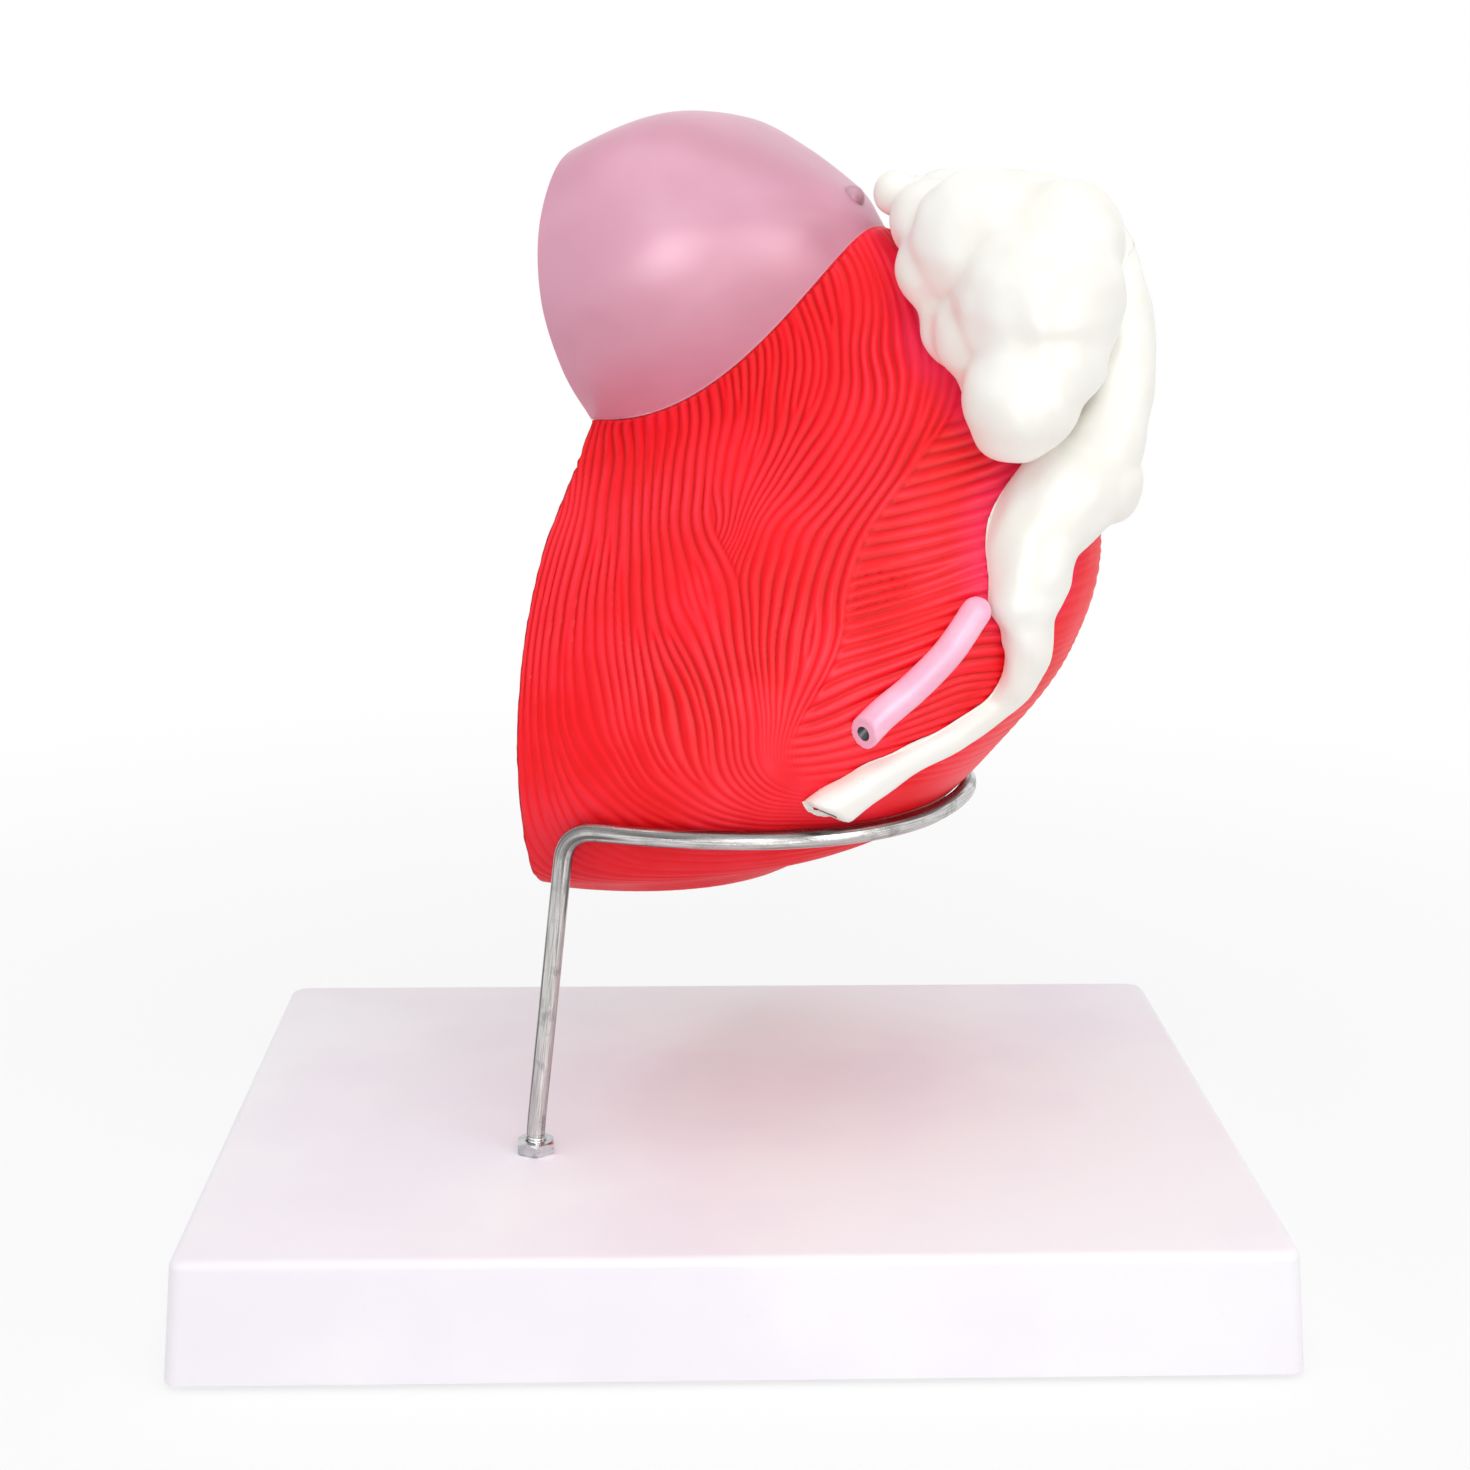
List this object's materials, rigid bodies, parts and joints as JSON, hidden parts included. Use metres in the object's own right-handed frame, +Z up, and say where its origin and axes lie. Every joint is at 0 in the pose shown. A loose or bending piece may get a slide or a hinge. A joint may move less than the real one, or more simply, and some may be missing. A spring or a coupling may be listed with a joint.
{
  "type": "bladder anatomy model",
  "caption": "Enlarged half bladder with prostate, seminal vesicles and ducts, cut open at the front and lifting off a bent rod cradle on a flat base.",
  "frame": {"origin": "on the ground, under the middle of the base", "axes": "+Z up, +X along the base's long side to the right as seen from the front, +Y to the back; the organ's cut face looks towards -X and a little towards +Y"},
  "size_m": [0.34, 0.24, 0.3696],
  "materials": {
    "base_moulding": "satin white moulding",
    "base_plate": "fine matt moulding",
    "fasteners": "bright plated steel",
    "feet": "matt black rubber",
    "rod": "drawn steel bar, polished",
    "muscle": "painted red, satin",
    "mucosa": "painted pink, satin",
    "prostate_surface": "painted mauve, satin",
    "gland": "painted, mottled, satin",
    "urethra": "painted pale pink, satin",
    "vesicle": "painted cream, satin",
    "duct": "painted cream, satin",
    "ureter": "painted light pink, satin"
  },
  "bodies": {
    "stand": {"base_shell": "base_moulding", "base_plate": "base_plate", "plate_screw_front_left": "fasteners", "plate_screw_front_right": "fasteners", "plate_screw_rear_left": "fasteners", "plate_screw_rear_right": "fasteners", "foot_front_left": "feet", "foot_front_right": "feet", "foot_rear_left": "feet", "foot_rear_right": "feet", "support_rod": "rod", "rod_nut_top": "fasteners", "rod_washer_under": "fasteners", "rod_nut_under": "fasteners"},
    "organ": {"bladder_wall": "muscle", "bladder_lining": "mucosa", "prostate_capsule": "prostate_surface", "prostate_gland": "gland", "urethra_lining": "urethra", "seminal_vesicle_right": "vesicle", "seminal_vesicle_left": "vesicle", "deferent_duct_right": "duct", "deferent_duct_left": "duct", "ureter_right": "ureter", "ureter_left": "ureter"}
  },
  "joints": [
    {"name": "organ_lift", "type": "slide", "parent": "stand", "child": "organ", "axis": [0, 0, 1], "range_m": [0, 0.15]}
  ]
}
